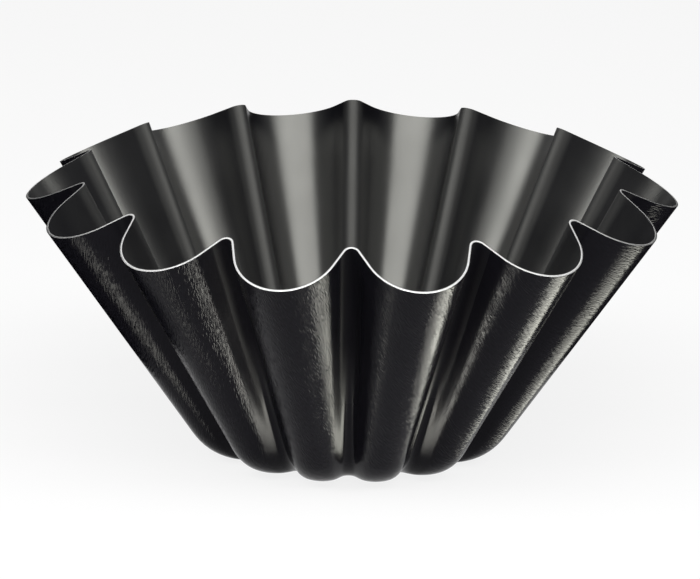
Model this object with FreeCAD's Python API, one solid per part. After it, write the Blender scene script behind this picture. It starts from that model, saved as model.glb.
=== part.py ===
import FreeCAD, Part
import math
import os
from collections import namedtuple

# Fluted brioche mould: a round blank of sheet steel, coated on both faces and pressed into a cup of flutes.
# It stands on its flat base at Z = 0, with the axis of the cup on Z and a ridge at the front, on -Y.
# A flute is a wide lobe between two narrow ridges, which point at the axis. Lengths are in millimetres.

# Flutes
flute_count = 14
lobe_fullness = 0.934  # share of the lobe radius that would leave no straight flank beside the ridge

# Rim, on the outer face
rim_diameter = 220.0  # across opposite lobes
rim_flute_depth = 17.8  # from the lobes in to the ridges
rim_ridge_radius = 2.35  # rounding of a ridge, seen from above
ridge_height = 96.3  # from the table to the tops of the ridges
rim_dip = 10.1  # from the tops of the ridges down to the edge of the lobes

# Base, on the outer face, where the straight walls would meet the table
base_diameter = 101.0  # across opposite lobes
base_flute_depth = 6.7  # from the lobes in to the ridges
base_ridge_radius = 2.8

# Rounded corner between the base and the walls
corner_run = 12.3  # inwards over the base
corner_rise = 12.2  # up the ridges

# Sheet
sheet_thickness = 0.7
coat_thickness = 0.1

half_flute = math.pi / flute_count
lobe_direction = FreeCAD.Vector(math.cos(half_flute), math.sin(half_flute), 0)
front_angle = -90.0
level_tolerance = coat_thickness / 10  # tells the edges on a floor from those above it

Outline = namedtuple("Outline", "ridge_centre ridge_radius lobe_centre lobe_radius flank_angle")
Segment = namedtuple("Segment", "poles weights")


def direction(angle):
    return FreeCAD.Vector(math.cos(angle), math.sin(angle), 0)


def flute_outline(lobe_reach, ridge_reach, ridge_radius):
    """Plan of half a flute: a ridge circle on the X axis, a lobe circle and the flank that touches both."""
    ridge_offset = ridge_reach + ridge_radius
    ridge_along = ridge_offset * math.cos(half_flute)
    gap_squared = lobe_reach ** 2 + ridge_offset ** 2 - 2 * lobe_reach * ridge_along
    touching_radius = (gap_squared - ridge_radius ** 2) / (2 * (lobe_reach + ridge_radius - ridge_along))
    lobe_radius = lobe_fullness * touching_radius
    ridge_centre = FreeCAD.Vector(ridge_offset, 0, 0)
    lobe_centre = lobe_direction * (lobe_reach - lobe_radius)
    between = lobe_centre - ridge_centre
    lean = math.asin((ridge_radius + lobe_radius) / between.Length)
    flank_angle = math.atan2(between.y, between.x) - lean
    return Outline(ridge_centre, ridge_radius, lobe_centre, lobe_radius, flank_angle)


def arc_segment(centre, radius, start, end):
    half_turn = (end - start) / 2
    bulge = math.cos(half_turn)
    middle = centre + direction(start + half_turn) * (radius / bulge)
    ends = [centre + direction(angle) * radius for angle in (start, end)]
    return Segment([ends[0], middle, ends[1]], [1, bulge, 1])


def plan_segments(outline, inset):
    """Half ridge, flank and half lobe, moved by the inset towards the inside of the cup."""
    square = math.pi / 2
    ridge_radius = outline.ridge_radius + inset
    lobe_radius = outline.lobe_radius - inset
    ridge = arc_segment(outline.ridge_centre, ridge_radius, math.pi, outline.flank_angle + square)
    lobe = arc_segment(outline.lobe_centre, lobe_radius, outline.flank_angle - square, half_flute)
    flank = Segment([ridge.poles[-1], lobe.poles[0]], [1, 1])
    return [ridge, flank, lobe]


base_reach = base_diameter / 2
base_ridge_reach = base_reach - base_flute_depth
rim_reach = rim_diameter / 2
rim_ridge_reach = rim_reach - rim_flute_depth

flat_outline = flute_outline(base_reach - corner_run, base_ridge_reach - corner_run, base_ridge_radius)
base_outline = flute_outline(base_reach, base_ridge_reach, base_ridge_radius)
rim_outline = flute_outline(rim_reach, rim_ridge_reach, rim_ridge_radius)

# Slope of the rim, which falls outwards along the ridges and flanks and turns smoothly into the lobes
rim_joint = plan_segments(rim_outline, 0)[2].poles[0]
turn_ratio = math.cos(rim_outline.flank_angle) / math.cos(rim_outline.flank_angle - half_flute)
lobe_fall_length = rim_reach - rim_joint.dot(lobe_direction)
ridge_slope = rim_dip / (rim_joint.x - rim_ridge_reach + turn_ratio * lobe_fall_length)
lobe_slope = ridge_slope * turn_ratio

# Lean of the walls from upright, and how far a face at depth 1 in the sheet lies inside the outer one
mean_run = (rim_reach + rim_ridge_reach - base_reach - base_ridge_reach) / 2
wall_lean = math.atan2(mean_run, ridge_height - rim_dip / 2)
rim_inset = 1 / (math.cos(wall_lean) + ridge_slope * math.sin(wall_lean))
base_inset = (1 - math.sin(wall_lean)) / math.cos(wall_lean)


def level_row(outline, inset, level):
    row = plan_segments(outline, inset)
    lift = FreeCAD.Vector(0, 0, level)
    return [Segment([pole + lift for pole in segment.poles], segment.weights) for segment in row]


def rim_row(inset):
    ridge, flank, lobe = plan_segments(rim_outline, inset)
    joint = lobe.poles[0]
    joint_height = ridge_height - ridge_slope * (joint.x - rim_ridge_reach)
    for pole in ridge.poles + flank.poles:
        pole.z = ridge_height - ridge_slope * (pole.x - rim_ridge_reach)
    for pole in lobe.poles[1:]:
        pole.z = joint_height - lobe_slope * (pole - joint).dot(lobe_direction)
    joint.z = joint_height
    return [ridge, flank, lobe]


def blend_segment(lower, upper, share):
    poles = []
    weights = []
    for low, low_weight, high, high_weight in zip(lower.poles, lower.weights, upper.poles, upper.weights):
        weight = (1 - share) * low_weight + share * high_weight
        poles.append((low * ((1 - share) * low_weight) + high * (share * high_weight)) * (1 / weight))
        weights.append(weight)
    return Segment(poles, weights)


def skin_rows(depth):
    """Rows of poles of half a flute at a depth in the sheet: edge of the flat, corner, foot of wall, rim."""
    flat = level_row(flat_outline, 0, depth)
    corner = level_row(base_outline, base_inset * depth, depth)
    rim = rim_row(rim_inset * depth)
    foot = [blend_segment(low, high, corner_rise / ridge_height) for low, high in zip(corner, rim)]
    return flat, corner, foot, rim


def patch(*segments):
    """Face drawn between rows of poles: ruled between two rows, rounded between three."""
    count = len(segments[0].poles)
    rows = len(segments)
    poles = [[segment.poles[i] for segment in segments] for i in range(count)]
    weights = [[segment.weights[i] for segment in segments] for i in range(count)]
    surface = Part.BSplineSurface()
    surface.buildFromPolesMultsKnots(
        poles, [count, count], [rows, rows], [0, 1], [0, 1], False, False, count - 1, rows - 1, weights
    )
    return surface.toShape()


def skin_faces(flat, corner, foot, rim):
    corners = [patch(*segments) for segments in zip(flat, corner, foot)]
    walls = [patch(*segments) for segments in zip(foot, rim)]
    return corners + walls


def rim_faces(outer_rim, inner_rim):
    return [patch(*segments) for segments in zip(outer_rim, inner_rim)]


def all_flutes(half_faces):
    """The faces of half a flute, mirrored at the ridge and repeated round the axis."""
    origin = FreeCAD.Vector(0, 0, 0)
    upward = FreeCAD.Vector(0, 0, 1)
    flute = half_faces + [face.mirror(origin, FreeCAD.Vector(0, 1, 0)) for face in half_faces]
    faces = []
    for index in range(flute_count):
        turn = front_angle + index * 360.0 / flute_count
        faces += [face.rotated(origin, upward, turn) for face in flute]
    return faces


def floor_face(skin, level):
    """Flat face inside the lowest edges of a skin."""
    edges = [edge for face in skin for edge in face.Edges if edge.BoundBox.ZMax < level + level_tolerance]
    return Part.Face(Part.Wire(Part.__sortEdges__(edges)))


def layer(outer_depth, inner_depth):
    """One layer of the sheet, between two depths measured from the outer face."""
    outer_rows = skin_rows(outer_depth)
    inner_rows = skin_rows(inner_depth)
    outer_skin = all_flutes(skin_faces(*outer_rows))
    inner_skin = all_flutes(skin_faces(*inner_rows))
    rim = all_flutes(rim_faces(outer_rows[-1], inner_rows[-1]))
    floors = [floor_face(outer_skin, outer_depth), floor_face(inner_skin, inner_depth)]
    shell = Part.makeShell(outer_skin + inner_skin + rim + floors)
    shell.sewShape()
    solid = Part.makeSolid(shell)
    if solid.Volume < 0:
        solid.reverse()
    return solid


sheet_outside = coat_thickness
sheet_inside = sheet_outside + sheet_thickness
cup_inside = sheet_inside + coat_thickness

layers = {
    "outer_nonstick_coat": layer(0, sheet_outside),
    "pressed_steel_shell": layer(sheet_outside, sheet_inside),
    "inner_nonstick_coat": layer(sheet_inside, cup_inside),
}

os.makedirs("parts", exist_ok=True)
for name, solid in layers.items():
    solid.exportStep("parts/" + name + ".step")
    print(name, "valid", solid.isValid(), "volume", round(solid.Volume, 1))
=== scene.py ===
import math
from collections import namedtuple
from itertools import accumulate

import bpy
from bpy.props import FloatProperty, FloatVectorProperty, IntProperty, PointerProperty
from mathutils import Matrix, Vector


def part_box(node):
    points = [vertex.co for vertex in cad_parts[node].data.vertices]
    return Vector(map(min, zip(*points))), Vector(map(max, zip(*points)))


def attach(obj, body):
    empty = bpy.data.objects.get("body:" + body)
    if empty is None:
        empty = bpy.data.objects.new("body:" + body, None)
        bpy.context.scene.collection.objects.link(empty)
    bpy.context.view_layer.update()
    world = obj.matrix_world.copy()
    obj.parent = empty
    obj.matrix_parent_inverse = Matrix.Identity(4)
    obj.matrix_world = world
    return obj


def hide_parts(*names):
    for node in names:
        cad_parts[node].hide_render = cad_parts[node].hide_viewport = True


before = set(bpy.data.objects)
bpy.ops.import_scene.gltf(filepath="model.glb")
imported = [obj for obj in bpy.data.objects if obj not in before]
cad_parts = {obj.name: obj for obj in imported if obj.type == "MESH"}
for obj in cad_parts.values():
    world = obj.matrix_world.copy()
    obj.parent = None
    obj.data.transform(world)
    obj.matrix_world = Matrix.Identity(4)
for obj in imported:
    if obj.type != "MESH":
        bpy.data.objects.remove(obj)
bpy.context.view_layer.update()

bl_info = {
    "name": "Fluted brioche mould",
    "version": (1, 0, 0),
    "blender": (4, 5, 0),
    "location": "3D View > Sidebar > Mould",
    "description": "Presses a coated sheet into a fluted brioche mould and lights it in a pale studio",
    "category": "Object",
}

OUTER_COAT = "outer_nonstick_coat"
STEEL_SHELL = "pressed_steel_shell"
INNER_COAT = "inner_nonstick_coat"
RING_TREE = "Flute ring"

# Mesh columns across half a flute, rows from the middle of the base to the rim, and rows over the cut edge
RIDGE_STEPS = 7
FLANK_STEPS = 3
LOBE_STEPS = 13
BASE_STEPS = 4
CORNER_STEPS = 12
WALL_STEPS = 22
CROWN_STEPS = 4
SEAM_DISTANCE = 2e-6  # points of neighbouring flutes nearer than this are joined
SHARP_EDGE = math.radians(40)

# Values stored on the points of a mesh, and its map of the flat sheet
FLUTE_TURN = "turn"
SHEET_DISTANCE = "sheet_distance"
SHEET_ANGLE = "sheet_angle"
LOBE_SHARE = "lobe_share"
SHEET_MAP = "flat_sheet"

# The lobe share is 0 on a ridge, rises over the flank and the edge of the lobe, and is 1 on the lobe
FLANK_SHARE = 0.5  # where the flank meets the lobe
LOBE_ONSET = 4  # columns of the lobe that take it from there to 1
GRAIN_ONSET = (FLANK_SHARE, 0.8)  # lobe shares between which the outer grain sets in
VALLEY_EDGE = 0.25  # lobe share at which the outer coat is no longer dulled
RIDGE_EDGE = 0.17  # lobe share at which the inner coat is no longer dulled
VALLEY_RISE = (0.03, 0.06)  # heights between which the dulling of the outer valleys sets in

# Unevenness of the finishes: swings of the roughness, and factors of the colour from dark to light
NOISE_RANGE = (0.3, 0.7)  # most of a noise lies between these
FAINT_GRAIN = 0.55  # share of its depth that the outer grain keeps where it is faintest
SPECK_STRETCH = 1.6  # length of an inner speck over its width
OUTER_SWING = 0.02
INNER_SWING = 0.03
STEEL_SWING = 0.08
OUTER_SHADES = (0.7, 1.4)
INNER_SHADES = (0.8, 1.25)
STEEL_SHADES = (0.85, 1.1)

# Paper floor and camera
PAPER_FIBRES = 400.0  # per metre
PAPER_ROUGHNESS = 0.9
PAPER_SHADES = (0.985, 1.015)
FLOOR_CORNERS = 96
SENSOR_WIDTH = 36.0  # millimetres

outer_low, outer_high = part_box(OUTER_COAT)


def length(name, description, default):
    return FloatProperty(
        name=name, description=description, default=default,
        min=0, precision=5, subtype="DISTANCE", unit="LENGTH"
    )


def angle(name, description, degrees):
    return FloatProperty(name=name, description=description, default=math.radians(degrees), subtype="ANGLE")


def share(name, description, default):
    return FloatProperty(name=name, description=description, default=default, min=0, max=1, subtype="FACTOR")


def number(name, description, default):
    return FloatProperty(name=name, description=description, default=default, min=0)


def power(name, description, default):
    return FloatProperty(
        name=name, description=description, default=default, min=0, precision=4, unit="POWER"
    )


def colour(name, description, default):
    return FloatVectorProperty(
        name=name, description=description, default=default, size=3, min=0, max=1, subtype="COLOR"
    )


def lengths(name, description, default):
    return FloatVectorProperty(
        name=name, description=description, default=default,
        size=len(default), precision=4, subtype="XYZ", unit="LENGTH"
    )


class MouldShape(bpy.types.PropertyGroup):
    """Sizes of the pressed sheet, on its outer face."""

    flute_count: IntProperty(name="Flutes", description="Lobes round the cup", default=14, min=3)
    front_angle: angle("Front angle", "Direction of the ridge at the front", -90)
    lobe_fullness: share(
        "Lobe fullness", "Share of the lobe radius that would leave no straight flank", 0.934
    )
    rim_diameter: length("Rim diameter", "Across opposite lobes at the rim", outer_high.x - outer_low.x)
    rim_flute_depth: length("Rim flute depth", "From the lobes in to the ridges at the rim", 0.0178)
    rim_ridge_radius: length("Rim ridge radius", "Rounding of a ridge at the rim", 0.00235)
    ridge_height: length("Ridge height", "From the table to the tops of the ridges", outer_high.z)
    rim_dip: length("Rim dip", "From the tops of the ridges down to the edge of the lobes", 0.0101)
    base_diameter: length(
        "Base diameter", "Across opposite lobes where the walls would meet the table", 0.101
    )
    base_flute_depth: length("Base flute depth", "From the lobes in to the ridges at the base", 0.0067)
    base_ridge_radius: length("Base ridge radius", "Rounding of a ridge at the base", 0.0028)
    corner_run: length("Corner run", "Rounded corner, inwards over the base", 0.0123)
    corner_rise: length("Corner rise", "Rounded corner, up the ridges", 0.0122)
    sheet_thickness: length("Sheet thickness", "Bare steel sheet", 0.0007)
    coat_thickness: length("Coat thickness", "Coat on each face of the sheet", 0.0001)
    edge_crown: length("Edge crown", "How far the middle of the cut edge stands proud", 0.00006)


class MouldFinish(bpy.types.PropertyGroup):
    """Colours and grain of the coats and the bare edge."""

    outer_colour: colour("Outer coat", "Colour of the outer coat", (0.0042, 0.004, 0.0056))
    outer_roughness: share("Outer roughness", "Mean roughness of the outer coat", 0.17)
    valley_roughness: share("Valley roughness", "Roughness that the outer coat gains in its valleys", 0.8)
    outer_ior: number("Outer index", "Index of refraction of the outer coat", 1.145)
    outer_tint: colour("Outer tint", "Tint of the reflections of the outer coat", (0.97, 0.94, 1.0))
    grain_width: length("Grain width", "Across a wrinkle of the outer coat", 0.00038)
    grain_length: length("Grain length", "Along a wrinkle of the outer coat", 0.0024)
    grain_turn: angle("Grain turn", "Turn of the wrinkles from front and back, as the sheet was rolled", -25)
    grain_depth: length("Grain depth", "Depth of the wrinkles of the outer coat", 0.00016)
    outer_patch: lengths("Outer patch", "Width and length of a patch of the outer coat", (0.011, 0.016))
    inner_colour: colour("Inner coat", "Colour of the inner coat", (0.004, 0.004, 0.006))
    inner_roughness: share("Inner roughness", "Mean roughness of the inner coat", 0.34)
    ridge_roughness: share("Ridge roughness", "Roughness that the inner coat gains on its ridges", 0.25)
    inner_ior: number("Inner index", "Index of refraction of the inner coat", 1.78)
    inner_tint: colour("Inner tint", "Tint of the reflections of the inner coat", (1.0, 1.0, 0.93))
    inner_grain: length("Inner grain", "Size of the specks of the inner coat", 0.0007)
    inner_grain_depth: length("Inner grain depth", "Depth of the specks of the inner coat", 0.000006)
    inner_patch: lengths("Inner patch", "Width and length of a patch of the inner coat", (0.02, 0.03))
    steel_colour: colour("Cut edge", "Colour of the bare steel", (0.92, 0.92, 0.91))
    steel_roughness: share("Edge roughness", "Mean roughness of the bare steel", 0.42)
    shear_mark_width: length("Shear mark width", "Width of the marks across the cut edge", 0.00025)
    shear_mark_depth: length("Shear mark depth", "Depth of the marks across the cut edge", 0.000008)


class MouldStage(bpy.types.PropertyGroup):
    """Floor, light and camera."""

    floor_colour: colour("Floor", "Colour of the floor", (0.86, 0.86, 0.86))
    floor_glow: share("Floor glow", "Share of the floor's white that is its own, to the eye", 0.84)
    floor_gap: length("Floor gap", "From the base down to the floor, which keeps them apart", 0.0001)
    floor_radius: length("Floor radius", "Radius of the floor", 12.0)
    ambient: number("Ambient", "Strength of the even light from all round", 0.025)
    backdrop_edge: FloatVectorProperty(
        name="Backdrop edge",
        description="Sines of the angles past the mould between which the backdrop whitens",
        default=(0.1, 0.35),
        size=2,
    )
    softbox_power: power("Softbox power", "Power of the softbox overhead", 91.0)
    softbox_size: lengths("Softbox size", "Width and depth of the softbox overhead", (4.7, 1.0))
    softbox_place: lengths("Softbox place", "Middle of the softbox overhead", (0.0, -0.95, 1.5))
    card_power: power("Card power", "Power of the low card on the right", 0.445)
    card_size: lengths("Card size", "Width and depth of the low card on the right", (0.1, 0.13))
    card_place: lengths("Card place", "Middle of the low card on the right", (0.168, -0.015, -0.09))
    card_spread: angle("Card spread", "Angle over which the right card throws its light", 160)
    card_door: lengths("Card door", "Place across and top of the right card's door", (0.03, -0.014))
    front_card_power: power("Front card power", "Power of each low card in front", 0.0094)
    front_card_size: lengths("Front card size", "Width and depth of each low card in front", (0.07, 0.031))
    front_card_place: lengths("Front card place", "Middle of the right front card", (0.086, -0.118, -0.09))
    front_card_target: lengths("Front card target", "Point that the right one faces", (-0.055, -0.075, 0.05))
    front_card_spread: angle("Front card spread", "Angle over which the front and left cards throw", 36)
    front_card_roll: angle("Front card roll", "Turn of the right front card about its own axis", -45)
    left_card_power: power("Left card power", "Power of the low card on the left", 0.0062)
    left_card_size: lengths("Left card size", "Width and height of the low card on the left", (0.06, 0.06))
    left_card_place: lengths("Left card place", "Middle of the low card on the left", (-0.115, -0.105, -0.09))
    left_card_target: lengths("Left card target", "Point that the left card faces", (-0.069, -0.05, 0.05))
    card_colour: colour("Card colour", "Colour of the low cards", (1.0, 1.0, 0.88))
    flag_foot: length("Flag foot", "From the axis of the mould to the foot of each black flag", 0.09)
    flag_top: length("Flag top", "From the axis of the mould to the top of each black flag", 0.16)
    flag_height: length("Flag height", "Height of the black flags", 0.2)
    flag_reach: lengths("Flag reach", "Near and far ends of the black flags", (-0.06, 0.45))
    camera_distance: length("Camera distance", "From the camera to the middle of the view", 1.815)
    camera_elevation: angle("Camera elevation", "Height of the camera above the horizon", 16.96)
    camera_roll: angle("Camera roll", "Turn of the camera about its line of sight", 0.74)
    camera_lens: FloatProperty(
        name="Focal length", description="Focal length of the camera", default=275.3, unit="CAMERA"
    )
    view_offset: FloatProperty(
        name="View offset", description="Middle of the view, across", default=-0.0003, subtype="DISTANCE"
    )
    view_height: length("View height", "Middle of the view, above the table", 0.0546)


Outline = namedtuple("Outline", "ridge_centre ridge_radius lobe_centre lobe_radius flank_angle")


def direction(turn):
    return Vector((math.cos(turn), math.sin(turn), 0))


def half_flute(shape):
    return math.pi / shape.flute_count


def flute_outline(shape, lobe_reach, ridge_reach, ridge_radius):
    """Plan of half a flute: a ridge circle on the X axis, a lobe circle and the flank that touches both."""
    half = half_flute(shape)
    ridge_offset = ridge_reach + ridge_radius
    ridge_along = ridge_offset * math.cos(half)
    gap_squared = lobe_reach ** 2 + ridge_offset ** 2 - 2 * lobe_reach * ridge_along
    touching_radius = (gap_squared - ridge_radius ** 2) / (2 * (lobe_reach + ridge_radius - ridge_along))
    lobe_radius = shape.lobe_fullness * touching_radius
    ridge_centre = Vector((ridge_offset, 0, 0))
    lobe_centre = direction(half) * (lobe_reach - lobe_radius)
    between = lobe_centre - ridge_centre
    lean = math.asin((ridge_radius + lobe_radius) / between.length)
    flank_angle = math.atan2(between.y, between.x) - lean
    return Outline(ridge_centre, ridge_radius, lobe_centre, lobe_radius, flank_angle)


def arc_points(centre, radius, start, end, steps):
    turns = [start + (end - start) * k / steps for k in range(steps + 1)]
    return [centre + direction(turn) * radius for turn in turns]


def outline_points(shape, outline, inset):
    """Half an outline from the ridge to the middle of the lobe, moved by the inset into the cup."""
    ridge_radius = outline.ridge_radius + inset
    ridge_end = outline.flank_angle + math.pi / 2
    ridge = arc_points(outline.ridge_centre, ridge_radius, math.pi, ridge_end, RIDGE_STEPS)
    lobe_radius = outline.lobe_radius - inset
    lobe_start = outline.flank_angle - math.pi / 2
    lobe = arc_points(outline.lobe_centre, lobe_radius, lobe_start, half_flute(shape), LOBE_STEPS)
    flank = [ridge[-1].lerp(lobe[0], k / FLANK_STEPS) for k in range(1, FLANK_STEPS)]
    return ridge + flank + lobe


def row_between(first, second, along):
    return [a.lerp(b, along) for a, b in zip(first, second)]


def bend(flat, corner, foot, along):
    """One row of the rounded corner, on curves that leave the base level and run straight into the walls."""
    lower = row_between(flat, corner, along)
    upper = row_between(corner, foot, along)
    return row_between(lower, upper, along)


class PressedSheet:
    """The fluted form of the sheet, which gives the rows of points at any depth below its outer face."""

    def __init__(self, shape):
        self.shape = shape
        self.base_reach = shape.base_diameter / 2
        self.base_ridge_reach = self.base_reach - shape.base_flute_depth
        self.rim_reach = shape.rim_diameter / 2
        self.rim_ridge_reach = self.rim_reach - shape.rim_flute_depth
        flat_reach = self.base_reach - shape.corner_run
        flat_ridge_reach = self.base_ridge_reach - shape.corner_run
        self.flat = flute_outline(shape, flat_reach, flat_ridge_reach, shape.base_ridge_radius)
        self.base = flute_outline(shape, self.base_reach, self.base_ridge_reach, shape.base_ridge_radius)
        self.rim = flute_outline(shape, self.rim_reach, self.rim_ridge_reach, shape.rim_ridge_radius)
        self.lobe_direction = direction(half_flute(shape))
        self.set_rim_slopes()
        self.set_insets()

    def set_rim_slopes(self):
        """The rim falls outwards along the ridges and flanks and turns smoothly into the lobes."""
        joint = outline_points(self.shape, self.rim, 0)[RIDGE_STEPS + FLANK_STEPS]
        flank = self.rim.flank_angle
        turn_ratio = math.cos(flank) / math.cos(flank - half_flute(self.shape))
        lobe_fall = self.rim_reach - joint.dot(self.lobe_direction)
        self.ridge_slope = self.shape.rim_dip / (joint.x - self.rim_ridge_reach + turn_ratio * lobe_fall)
        self.lobe_slope = self.ridge_slope * turn_ratio

    def set_insets(self):
        """How far a face at depth 1 in the sheet lies inside the outer face, at the rim and at the base."""
        mean_run = (self.rim_reach + self.rim_ridge_reach - self.base_reach - self.base_ridge_reach) / 2
        lean = math.atan2(mean_run, self.shape.ridge_height - self.shape.rim_dip / 2)
        self.rim_inset = 1 / (math.cos(lean) + self.ridge_slope * math.sin(lean))
        self.base_inset = (1 - math.sin(lean)) / math.cos(lean)

    def rim_row(self, depth):
        row = outline_points(self.shape, self.rim, self.rim_inset * depth)
        joint_index = RIDGE_STEPS + FLANK_STEPS
        joint = row[joint_index].copy()
        joint_height = self.shape.ridge_height - self.ridge_slope * (joint.x - self.rim_ridge_reach)
        for point in row[:joint_index]:
            point.z = self.shape.ridge_height - self.ridge_slope * (point.x - self.rim_ridge_reach)
        for point in row[joint_index:]:
            point.z = joint_height - self.lobe_slope * (point - joint).dot(self.lobe_direction)
        return row

    def skin_rows(self, depth):
        """Rows of half a flute at a depth in the sheet, from the axis over the base and up to the rim."""
        lift = Vector((0, 0, depth))
        flat = [point + lift for point in outline_points(self.shape, self.flat, 0)]
        corner = [point + lift for point in outline_points(self.shape, self.base, self.base_inset * depth)]
        rim = self.rim_row(depth)
        foot_share = self.shape.corner_rise / self.shape.ridge_height
        foot = row_between(corner, rim, foot_share)
        rows = [[lift.lerp(point, k / BASE_STEPS) for point in flat] for k in range(BASE_STEPS)]
        rows += [bend(flat, corner, foot, k / CORNER_STEPS) for k in range(CORNER_STEPS)]
        rows += [row_between(foot, rim, k / WALL_STEPS) for k in range(WALL_STEPS + 1)]
        return rows


def whole_flute(half_row):
    mirrored = [Vector((point.x, -point.y, point.z)) for point in reversed(half_row[1:])]
    return mirrored + half_row


def row_shares(points):
    """How far along a row each of its points lies, from 0 to 1."""
    distances = [0] + list(accumulate((b - a).length for a, b in zip(points, points[1:])))
    return [distance / distances[-1] for distance in distances]


def sheet_places(rows, half):
    """Distance from the middle and angle of each point on the flat sheet, before it was pressed."""
    distances = [[0.0] * len(rows[0])]
    for lower, upper in zip(rows, rows[1:]):
        distances.append([far + (b - a).length for far, a, b in zip(distances[-1], lower, upper)])
    shares = [row_shares(row) for row in rows[1:]]
    shares.insert(0, shares[0])
    angles = [[half * (2 * along - 1) for along in row] for row in shares]
    return distances, angles


def lobe_shares():
    """Lobe share at each column of half a flute, from the ridge to the middle of the lobe."""
    ridge = [0.0] * (RIDGE_STEPS + 1)
    flank = [FLANK_SHARE * k / FLANK_STEPS for k in range(1, FLANK_STEPS)]
    onset = (1.0 - FLANK_SHARE) / LOBE_ONSET
    lobe = [min(FLANK_SHARE + onset * k, 1.0) for k in range(LOBE_STEPS + 1)]
    return ridge + flank + lobe


def strip_shares(row_count):
    """Lobe share at each point of a strip of rows. The flat base, at both its ends, counts as lobe."""
    half_shares = lobe_shares()
    fluted = half_shares[:0:-1] + half_shares
    base = [[1.0] * len(fluted)] * BASE_STEPS
    return base + [fluted] * (row_count - 2 * BASE_STEPS) + base


def strip_faces(row_count, width):
    """Faces between the neighbouring rows of a strip."""
    faces = []
    for start in range(0, (row_count - 1) * width, width):
        for corner in range(start, start + width - 1):
            faces.append((corner, corner + 1, corner + 1 + width, corner + width))
    return faces


def crown_rows(outer_rim, inner_rim, crown):
    """Rows over the cut edge, which is a little proud in its middle."""
    rows = []
    for k in range(1, CROWN_STEPS):
        along = k / CROWN_STEPS
        proud = Vector((0, 0, crown * math.sin(math.pi * along)))
        rows.append([point + proud for point in row_between(outer_rim, inner_rim, along)])
    return rows


def flute_mesh(shape, name, outer_depth, inner_depth, crown=0.0):
    """One flute of a layer of the sheet: outer face, cut edge and inner face in one strip of rows."""
    sheet = PressedSheet(shape)
    half = half_flute(shape)
    outer = [whole_flute(row) for row in sheet.skin_rows(outer_depth)]
    inner = [whole_flute(row) for row in sheet.skin_rows(inner_depth)]
    outer_far, outer_turn = sheet_places(outer, half)
    inner_far, inner_turn = sheet_places(inner, half)
    edge = crown_rows(outer[-1], inner[-1], crown) if crown else []
    rows = outer + edge + inner[::-1]
    far = outer_far + [outer_far[-1]] * len(edge) + inner_far[::-1]
    turn = outer_turn + [outer_turn[-1]] * len(edge) + inner_turn[::-1]
    points = [point for row in rows for point in row]
    mesh = bpy.data.meshes.new(name)
    mesh.from_pydata(points, [], strip_faces(len(rows), len(rows[0])))
    shares = strip_shares(len(rows))
    for attribute, values in ((SHEET_DISTANCE, far), (SHEET_ANGLE, turn), (LOBE_SHARE, shares)):
        layer = mesh.attributes.new(attribute, "FLOAT", "POINT")
        layer.data.foreach_set("value", [value for row in values for value in row])
    return mesh


def add_node(tree, kind, values=None, **settings):
    """A node with its settings and the values of its inputs."""
    node = tree.nodes.new(kind)
    for name, value in settings.items():
        setattr(node, name, value)
    for name, value in (values or {}).items():
        node.inputs[name].default_value = value
    return node


def math_node(tree, operation, first, second):
    """The output of an operation on two numbers or outputs."""
    node = add_node(tree, "ShaderNodeMath", operation=operation)
    for socket, value in zip(node.inputs, (first, second)):
        if isinstance(value, (int, float)):
            socket.default_value = value
        else:
            tree.links.new(value, socket)
    return node.outputs[0]


def named_value(tree, name):
    node = add_node(tree, "GeometryNodeInputNamedAttribute", {"Name": name}, data_type="FLOAT")
    return node.outputs["Attribute"]


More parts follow.
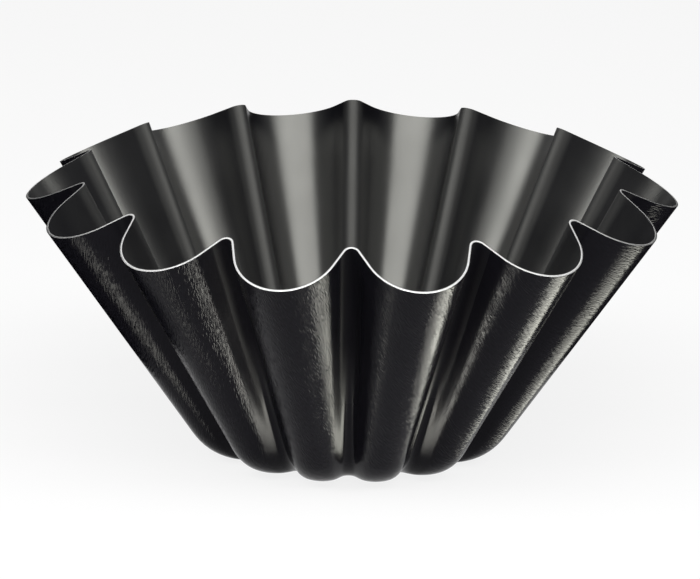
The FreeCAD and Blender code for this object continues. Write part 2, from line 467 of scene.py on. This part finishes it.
def flute_ring_tree():
    """Geometry nodes that repeat one flute round the axis, lay out its flat sheet and close the seams."""
    tree = bpy.data.node_groups.new(RING_TREE, "GeometryNodeTree")
    sockets = tree.interface
    sockets.new_socket("Flute", in_out="INPUT", socket_type="NodeSocketGeometry")
    sockets.new_socket("Flutes", in_out="INPUT", socket_type="NodeSocketInt")
    sockets.new_socket("Front angle", in_out="INPUT", socket_type="NodeSocketFloat")
    sockets.new_socket("Seam distance", in_out="INPUT", socket_type="NodeSocketFloat")
    sockets.new_socket("Finish", in_out="INPUT", socket_type="NodeSocketMaterial")
    sockets.new_socket("Shell", in_out="OUTPUT", socket_type="NodeSocketGeometry")
    given = tree.nodes.new("NodeGroupInput").outputs
    made = tree.nodes.new("NodeGroupOutput").inputs
    link = tree.links.new

    points = tree.nodes.new("GeometryNodePoints")
    link(given["Flutes"], points.inputs["Count"])
    index = tree.nodes.new("GeometryNodeInputIndex").outputs[0]
    step = math_node(tree, "DIVIDE", math.tau, given["Flutes"])
    turn = math_node(tree, "ADD", math_node(tree, "MULTIPLY", index, step), given["Front angle"])
    rotation = add_node(tree, "FunctionNodeAxisAngleToRotation", {"Axis": (0, 0, 1)})
    link(turn, rotation.inputs["Angle"])
    ring = tree.nodes.new("GeometryNodeInstanceOnPoints")
    link(points.outputs[0], ring.inputs["Points"])
    link(given["Flute"], ring.inputs["Instance"])
    link(rotation.outputs[0], ring.inputs["Rotation"])
    turned = add_node(
        tree, "GeometryNodeStoreNamedAttribute", {"Name": FLUTE_TURN}, data_type="FLOAT", domain="INSTANCE"
    )
    link(ring.outputs[0], turned.inputs["Geometry"])
    link(turn, turned.inputs["Value"])
    whole = tree.nodes.new("GeometryNodeRealizeInstances")
    link(turned.outputs[0], whole.inputs[0])

    sheet_turn = math_node(tree, "ADD", named_value(tree, FLUTE_TURN), named_value(tree, SHEET_ANGLE))
    sheet_place = tree.nodes.new("ShaderNodeCombineXYZ")
    for axis, operation in (("X", "COSINE"), ("Y", "SINE")):
        wave = math_node(tree, operation, sheet_turn, 0.0)
        along = math_node(tree, "MULTIPLY", named_value(tree, SHEET_DISTANCE), wave)
        link(along, sheet_place.inputs[axis])
    laid = add_node(
        tree, "GeometryNodeStoreNamedAttribute", {"Name": SHEET_MAP}, data_type="FLOAT2", domain="CORNER"
    )
    link(whole.outputs[0], laid.inputs["Geometry"])
    link(sheet_place.outputs[0], laid.inputs["Value"])
    shell = laid.outputs[0]
    for name in (FLUTE_TURN, SHEET_ANGLE, SHEET_DISTANCE):
        removal = add_node(tree, "GeometryNodeRemoveAttribute", {"Name": name})
        link(shell, removal.inputs["Geometry"])
        shell = removal.outputs[0]
    closed = tree.nodes.new("GeometryNodeMergeByDistance")
    link(shell, closed.inputs["Geometry"])
    link(given["Seam distance"], closed.inputs["Distance"])
    smooth = tree.nodes.new("GeometryNodeSetShadeSmooth")
    link(closed.outputs[0], smooth.inputs["Geometry"])
    finished = tree.nodes.new("GeometryNodeSetMaterial")
    link(smooth.outputs[0], finished.inputs["Geometry"])
    link(given["Finish"], finished.inputs["Material"])
    link(finished.outputs[0], made["Shell"])
    return tree


def press_layer(shape, node, material, outer_depth, inner_depth, crown=0.0):
    """One whole layer of the sheet, in place of its solid."""
    tree = bpy.data.node_groups.get(RING_TREE) or flute_ring_tree()
    flute = flute_mesh(shape, node + "_flute", outer_depth, inner_depth, crown)
    piece = bpy.data.objects.new("dressed_" + node, flute)
    bpy.context.scene.collection.objects.link(piece)
    ring = piece.modifiers.new(RING_TREE, "NODES")
    ring.node_group = tree
    settings = {
        "Flutes": shape.flute_count,
        "Front angle": shape.front_angle,
        "Seam distance": SEAM_DISTANCE,
        "Finish": material,
    }
    for socket in tree.interface.items_tree:
        if socket.in_out == "INPUT" and socket.name in settings:
            ring[socket.identifier] = settings[socket.name]
    depsgraph = bpy.context.evaluated_depsgraph_get()
    mesh = bpy.data.meshes.new_from_object(
        piece.evaluated_get(depsgraph), preserve_all_data_layers=True, depsgraph=depsgraph
    )
    piece.modifiers.remove(ring)
    piece.data = mesh
    mesh.name = piece.name
    bpy.data.meshes.remove(flute)
    mesh.set_sharp_from_angle(angle=SHARP_EDGE)
    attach(piece, "root")
    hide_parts(node)


def new_material(name):
    """A material with its tree and its shader."""
    material = bpy.data.materials.new(name)
    material.use_nodes = True
    tree = material.node_tree
    return material, tree, tree.nodes["Principled BSDF"]


def sheet_pattern(tree, across, along, values, turn=0.0):
    """Noise on the flat sheet, stretched along the way that the sheet was rolled."""
    sheet = add_node(tree, "ShaderNodeUVMap", uv_map=SHEET_MAP)
    layout = {"Scale": (across, along, 1), "Rotation": (0, 0, turn)}
    mapping = add_node(tree, "ShaderNodeMapping", layout, vector_type="TEXTURE")
    noise = add_node(tree, "ShaderNodeTexNoise", {"Scale": 1.0, **values})
    tree.links.new(sheet.outputs[0], mapping.inputs["Vector"])
    tree.links.new(mapping.outputs[0], noise.inputs["Vector"])
    return noise.outputs[0]


def spread(tree, value, start, end, low, high):
    """A value that goes from low to high while another goes from start to end."""
    settings = {"From Min": start, "From Max": end, "To Min": low, "To Max": high}
    node = add_node(tree, "ShaderNodeMapRange", settings)
    tree.links.new(value, node.inputs["Value"])
    return node.outputs[0]


def ranged(tree, noise, low, high):
    """A noise spread from low to high."""
    return spread(tree, noise, *NOISE_RANGE, low, high)


def swinging(tree, noise, mean, swing):
    """A value that swings about its mean with a noise."""
    return ranged(tree, noise, mean - swing, mean + swing)


def shaded(tree, noise, mean, shades):
    """A colour that goes from its dark shade to its light one with a noise."""
    node = add_node(tree, "ShaderNodeMix", data_type="RGBA")
    for end, shade in zip(("A", "B"), shades):
        node.inputs[end].default_value = (*(channel * shade for channel in mean), 1)
    tree.links.new(noise, node.inputs["Factor"])
    return node.outputs["Result"]


def raised(tree, height, depth, shader):
    """Bumps of the given depth on the shader's surface."""
    bump = add_node(tree, "ShaderNodeBump", {"Strength": 1.0, "Distance": depth})
    tree.links.new(height, bump.inputs["Height"])
    tree.links.new(bump.outputs[0], shader.inputs["Normal"])


def lobe_share(tree):
    return add_node(tree, "ShaderNodeAttribute", attribute_name=LOBE_SHARE).outputs["Fac"]


def outer_coat_material(finish):
    """Semi-gloss black coat with fine wrinkles on its lobes, along the rolling direction of the sheet."""
    material, tree, shader = new_material("Outer coat")
    wrinkles = {"Detail": 0.0, "Distortion": 0.2}
    grain = sheet_pattern(tree, finish.grain_width, finish.grain_length, wrinkles, finish.grain_turn)
    patches = sheet_pattern(tree, *finish.outer_patch, {"Detail": 2.0})
    lobes = lobe_share(tree)
    strength = ranged(tree, patches, FAINT_GRAIN, 1.0)
    onset = spread(tree, lobes, *GRAIN_ONSET, 0.0, 1.0)
    fading = math_node(tree, "MULTIPLY", strength, onset)
    raised(tree, math_node(tree, "MULTIPLY", grain, fading), finish.grain_depth, shader)

    gloss = swinging(tree, patches, finish.outer_roughness, OUTER_SWING)
    spot = tree.nodes.new("ShaderNodeSeparateXYZ")
    tree.links.new(tree.nodes.new("ShaderNodeTexCoord").outputs["Object"], spot.inputs[0])
    upper = spread(tree, spot.outputs["Z"], *VALLEY_RISE, 0.0, finish.valley_roughness)
    valley = spread(tree, lobes, 0.0, VALLEY_EDGE, 1.0, 0.0)
    dulled = math_node(tree, "MULTIPLY", valley, upper)
    tree.links.new(math_node(tree, "ADD", gloss, dulled), shader.inputs["Roughness"])
    tint = shaded(tree, grain, finish.outer_colour, OUTER_SHADES)
    tree.links.new(tint, shader.inputs["Base Color"])
    shader.inputs["IOR"].default_value = finish.outer_ior
    shader.inputs["Specular Tint"].default_value = (*finish.outer_tint, 1)
    return material


def inner_coat_material(finish):
    """Satin black coat, smooth but for very fine specks."""
    material, tree, shader = new_material("Inner coat")
    specks = sheet_pattern(tree, finish.inner_grain, finish.inner_grain * SPECK_STRETCH, {"Detail": 2.0})
    patches = sheet_pattern(tree, *finish.inner_patch, {"Detail": 3.0})
    raised(tree, specks, finish.inner_grain_depth, shader)
    gloss = swinging(tree, patches, finish.inner_roughness, INNER_SWING)
    dulled = spread(tree, lobe_share(tree), 0.0, RIDGE_EDGE, finish.ridge_roughness, 0.0)
    tree.links.new(math_node(tree, "ADD", gloss, dulled), shader.inputs["Roughness"])
    tint = shaded(tree, specks, finish.inner_colour, INNER_SHADES)
    tree.links.new(tint, shader.inputs["Base Color"])
    shader.inputs["IOR"].default_value = finish.inner_ior
    shader.inputs["Specular Tint"].default_value = (*finish.inner_tint, 1)
    return material


def cut_steel_material(finish):
    """Bare steel with the fine marks that the shears leave across the edge."""
    material, tree, shader = new_material("Cut steel")
    marks = sheet_pattern(tree, finish.shear_mark_width, finish.shear_mark_width, {"Detail": 3.0})
    raised(tree, marks, finish.shear_mark_depth, shader)
    gloss = swinging(tree, marks, finish.steel_roughness, STEEL_SWING)
    tree.links.new(gloss, shader.inputs["Roughness"])
    tint = shaded(tree, marks, finish.steel_colour, STEEL_SHADES)
    tree.links.new(tint, shader.inputs["Base Color"])
    shader.inputs["Metallic"].default_value = 1.0
    return material


class MOULD_OT_outer_coat(bpy.types.Operator):
    """Adds the grained coat on the outside and the underside"""

    bl_idname = "mould.outer_coat"
    bl_label = "Outer coat"

    def execute(self, context):
        shape = context.scene.mould_shape
        material = outer_coat_material(context.scene.mould_finish)
        press_layer(shape, OUTER_COAT, material, 0.0, shape.coat_thickness)
        return {"FINISHED"}


class MOULD_OT_steel_shell(bpy.types.Operator):
    """Adds the pressed steel sheet, whose cut edge shows at the rim"""

    bl_idname = "mould.steel_shell"
    bl_label = "Steel shell"

    def execute(self, context):
        shape = context.scene.mould_shape
        material = cut_steel_material(context.scene.mould_finish)
        outside = shape.coat_thickness
        inside = outside + shape.sheet_thickness
        press_layer(shape, STEEL_SHELL, material, outside, inside, shape.edge_crown)
        return {"FINISHED"}


class MOULD_OT_inner_coat(bpy.types.Operator):
    """Adds the satin coat on the inside"""

    bl_idname = "mould.inner_coat"
    bl_label = "Inner coat"

    def execute(self, context):
        shape = context.scene.mould_shape
        material = inner_coat_material(context.scene.mould_finish)
        outside = shape.coat_thickness + shape.sheet_thickness
        press_layer(shape, INNER_COAT, material, outside, outside + shape.coat_thickness)
        return {"FINISHED"}


def seen_rays(tree):
    """1 for rays that show a surface, directly or in a reflection, and 0 for those that light others."""
    rays = tree.nodes.new("ShaderNodeLightPath").outputs
    seen = math_node(tree, "MAXIMUM", rays["Is Camera Ray"], rays["Is Glossy Ray"])
    return math_node(tree, "MAXIMUM", seen, rays["Is Transmission Ray"])


def floor_material(stage):
    """Matt paper, very slightly uneven. Part of the white that it shows is its own, so shadows are faint."""
    material, tree, shader = new_material("Studio floor")
    spot = tree.nodes.new("ShaderNodeTexCoord").outputs["Object"]
    fibres = add_node(tree, "ShaderNodeTexNoise", {"Scale": PAPER_FIBRES, "Detail": 2.0})
    tree.links.new(spot, fibres.inputs["Vector"])
    tint = shaded(tree, fibres.outputs[0], stage.floor_colour, PAPER_SHADES)
    tree.links.new(tint, shader.inputs["Base Color"])
    shader.inputs["Roughness"].default_value = PAPER_ROUGHNESS
    shader.inputs["Specular IOR Level"].default_value = 0.0
    glow = add_node(tree, "ShaderNodeEmission", {"Color": (1, 1, 1, 1), "Strength": 1.0})
    paper = tree.nodes.new("ShaderNodeMixShader")
    tree.links.new(math_node(tree, "MULTIPLY", seen_rays(tree), stage.floor_glow), paper.inputs["Fac"])
    tree.links.new(shader.outputs[0], paper.inputs[1])
    tree.links.new(glow.outputs[0], paper.inputs[2])
    tree.links.new(paper.outputs[0], tree.nodes["Material Output"].inputs["Surface"])
    return material


def add_floor(stage):
    middle = Vector((0, 0, -stage.floor_gap))
    corners = arc_points(middle, stage.floor_radius, 0, math.tau, FLOOR_CORNERS)[:-1]
    mesh = bpy.data.meshes.new("studio_floor")
    mesh.from_pydata(corners, [], [range(len(corners))])
    mesh.materials.append(floor_material(stage))
    floor = bpy.data.objects.new("studio_floor", mesh)
    bpy.context.scene.collection.objects.link(floor)


def aimed(spot, target, roll):
    """Matrix that puts a lamp or the camera at a spot and points it at a target."""
    turn = (target - spot).to_track_quat("-Z", "Y").to_matrix().to_4x4()
    return Matrix.Translation(spot) @ turn @ Matrix.Rotation(roll, 4, "Z")


def add_panel(name, watts, size, matrix):
    """A soft panel of light that the camera doesn't show."""
    lamp = bpy.data.lights.new(name, "AREA")
    lamp.shape = "RECTANGLE"
    lamp.size, lamp.size_y = size
    lamp.energy = watts
    panel = bpy.data.objects.new(name, lamp)
    panel.matrix_world = matrix
    panel.visible_camera = False
    bpy.context.scene.collection.objects.link(panel)
    return panel


def linked_group(name, pieces, state):
    """A collection of pieces that light linking includes or leaves out."""
    group = bpy.data.collections.new(name)
    for piece in pieces:
        group.objects.link(piece)
    for item in group.collection_objects:
        item.light_linking.link_state = state
    return group


def black_material():
    """Black cloth that gives back no light."""
    material, _, shader = new_material("Black cloth")
    shader.inputs["Base Color"].default_value = (0, 0, 0, 1)
    shader.inputs["Specular IOR Level"].default_value = 0.0
    return material


def add_screen(name, corners, material):
    """A black sheet that shows only in glossy reflections."""
    mesh = bpy.data.meshes.new(name)
    mesh.from_pydata(corners, [], [range(len(corners))])
    mesh.materials.append(material)
    screen = bpy.data.objects.new(name, mesh)
    screen.visible_camera = False
    screen.visible_diffuse = False
    screen.visible_transmission = False
    bpy.context.scene.collection.objects.link(screen)
    return screen


def add_flags(stage, material):
    """Black flags beside the mould, which keep its outline dark in the glossy coat and throw no shadow."""
    near, far = stage.flag_reach
    height = stage.flag_height
    for side in (-1, 1):
        foot = side * stage.flag_foot
        top = side * stage.flag_top
        corners = [(foot, near, 0), (foot, far, 0), (top, far, height), (top, near, height)]
        flag = add_screen("flag", corners, material)
        flag.visible_shadow = False


def add_door(stage, material):
    """A door under the floor, which hides the right card from the feet on the left and isn't reflected."""
    across, top = stage.card_door
    foot = stage.card_place[2]
    reach = stage.floor_radius
    corners = [(across, -reach, foot), (across, reach, foot), (across, reach, top), (across, -reach, top)]
    door = add_screen("card_door", corners, material)
    door.visible_glossy = False
    return door


Card = namedtuple("Card", "name middle target roll power size spread blockers")


def add_cards(stage, black):
    """Cards below the floor, whose light shows on the outer coat alone, as bands along its lobes."""
    door = add_door(stage, black)
    solids = [piece for piece in bpy.context.scene.objects if piece.type == "MESH"]
    shows_on = linked_group("Cards show on", [bpy.data.objects["dressed_" + OUTER_COAT]], "INCLUDE")
    passes = linked_group("Cards pass", solids, "EXCLUDE")
    stops = linked_group("Door stops", [door], "INCLUDE")
    mirrored = Vector((-1, 1, 1))
    right = Vector(stage.card_place)
    front = Vector(stage.front_card_place)
    front_lobe = Vector(stage.front_card_target)
    left = Vector(stage.left_card_place)
    left_lobe = Vector(stage.left_card_target)
    upwards = right + Vector((0, 0, 1))
    roll = stage.front_card_roll
    narrow = stage.front_card_spread
    right_light = (stage.card_power, stage.card_size, stage.card_spread)
    front_light = (stage.front_card_power, stage.front_card_size, narrow)
    left_light = (stage.left_card_power, stage.left_card_size, narrow)
    cards = (
        Card("card_right", right, upwards, 0, *right_light, stops),
        Card("card_front_right", front, front_lobe, roll, *front_light, passes),
        Card("card_front_left", front * mirrored, front_lobe * mirrored, -roll, *front_light, passes),
        Card("card_left", left, left_lobe, 0, *left_light, passes),
    )
    for card in cards:
        panel = add_panel(card.name, card.power, card.size, aimed(card.middle, card.target, card.roll))
        panel.data.color = stage.card_colour
        panel.data.spread = card.spread
        panel.light_linking.receiver_collection = shows_on
        panel.light_linking.blocker_collection = card.blockers


def surround(stage):
    """An even dim surround, which shows a white backdrop behind the mould."""
    world = bpy.data.worlds.new("Studio")
    world.use_nodes = True
    tree = world.node_tree
    bearing = tree.nodes.new("ShaderNodeSeparateXYZ")
    tree.links.new(tree.nodes.new("ShaderNodeTexCoord").outputs["Generated"], bearing.inputs[0])
    near, far = stage.backdrop_edge
    backdrop = spread(tree, bearing.outputs["Y"], near, far, stage.ambient, 1.0)
    strength = add_node(tree, "ShaderNodeMix", {"A": stage.ambient}, data_type="FLOAT")
    tree.links.new(seen_rays(tree), strength.inputs["Factor"])
    tree.links.new(backdrop, strength.inputs["B"])
    light = tree.nodes["Background"].inputs
    light["Color"].default_value = (1, 1, 1, 1)
    tree.links.new(strength.outputs["Result"], light["Strength"])
    return world


def add_lights(stage, black):
    """A wide softbox above and in front, low cards under the floor and an even dim surround."""
    add_panel("softbox", stage.softbox_power, stage.softbox_size, Matrix.Translation(stage.softbox_place))
    add_cards(stage, black)
    bpy.context.scene.world = surround(stage)


def add_camera(stage, middle):
    back = math.cos(stage.camera_elevation) * stage.camera_distance
    up = math.sin(stage.camera_elevation) * stage.camera_distance
    spot = middle + Vector((0, -back, up))
    camera = bpy.data.cameras.new("camera")
    camera.lens = stage.camera_lens
    camera.sensor_width = SENSOR_WIDTH
    camera.sensor_fit = "HORIZONTAL"
    view = bpy.data.objects.new("camera", camera)
    view.matrix_world = aimed(spot, middle, stage.camera_roll)
    bpy.context.scene.collection.objects.link(view)
    bpy.context.scene.camera = view


class MOULD_OT_stage(bpy.types.Operator):
    """Adds the pale floor, the studio light and the camera"""

    bl_idname = "mould.stage"
    bl_label = "Studio stage"

    def execute(self, context):
        stage = context.scene.mould_stage
        middle = Vector((stage.view_offset, 0, stage.view_height))
        add_floor(stage)
        black = black_material()
        add_flags(stage, black)
        add_lights(stage, black)
        add_camera(stage, middle)
        context.scene.view_settings.view_transform = "Standard"
        return {"FINISHED"}


class MOULD_PT_sidebar(bpy.types.Panel):
    """Sizes, finishes and stage of the mould"""

    bl_idname = "MOULD_PT_sidebar"
    bl_label = "Brioche mould"
    bl_space_type = "VIEW_3D"
    bl_region_type = "UI"
    bl_category = "Mould"

    def draw(self, context):
        groups = (context.scene.mould_shape, context.scene.mould_finish, context.scene.mould_stage)
        for group in groups:
            box = self.layout.box()
            for name in group.__annotations__:
                box.prop(group, name)
        for operator in OPERATORS:
            self.layout.operator(operator.bl_idname)


OPERATORS = (MOULD_OT_outer_coat, MOULD_OT_steel_shell, MOULD_OT_inner_coat, MOULD_OT_stage)
CLASSES = (MouldShape, MouldFinish, MouldStage, *OPERATORS, MOULD_PT_sidebar)


def register():
    for kind in CLASSES:
        bpy.utils.register_class(kind)
    bpy.types.Scene.mould_shape = PointerProperty(type=MouldShape)
    bpy.types.Scene.mould_finish = PointerProperty(type=MouldFinish)
    bpy.types.Scene.mould_stage = PointerProperty(type=MouldStage)


def unregister():
    del bpy.types.Scene.mould_stage
    del bpy.types.Scene.mould_finish
    del bpy.types.Scene.mould_shape
    for kind in reversed(CLASSES):
        bpy.utils.unregister_class(kind)


def main():
    register()
    bpy.ops.mould.outer_coat()
    bpy.ops.mould.steel_shell()
    bpy.ops.mould.inner_coat()
    bpy.ops.mould.stage()


if __name__ == "__main__":
    main()
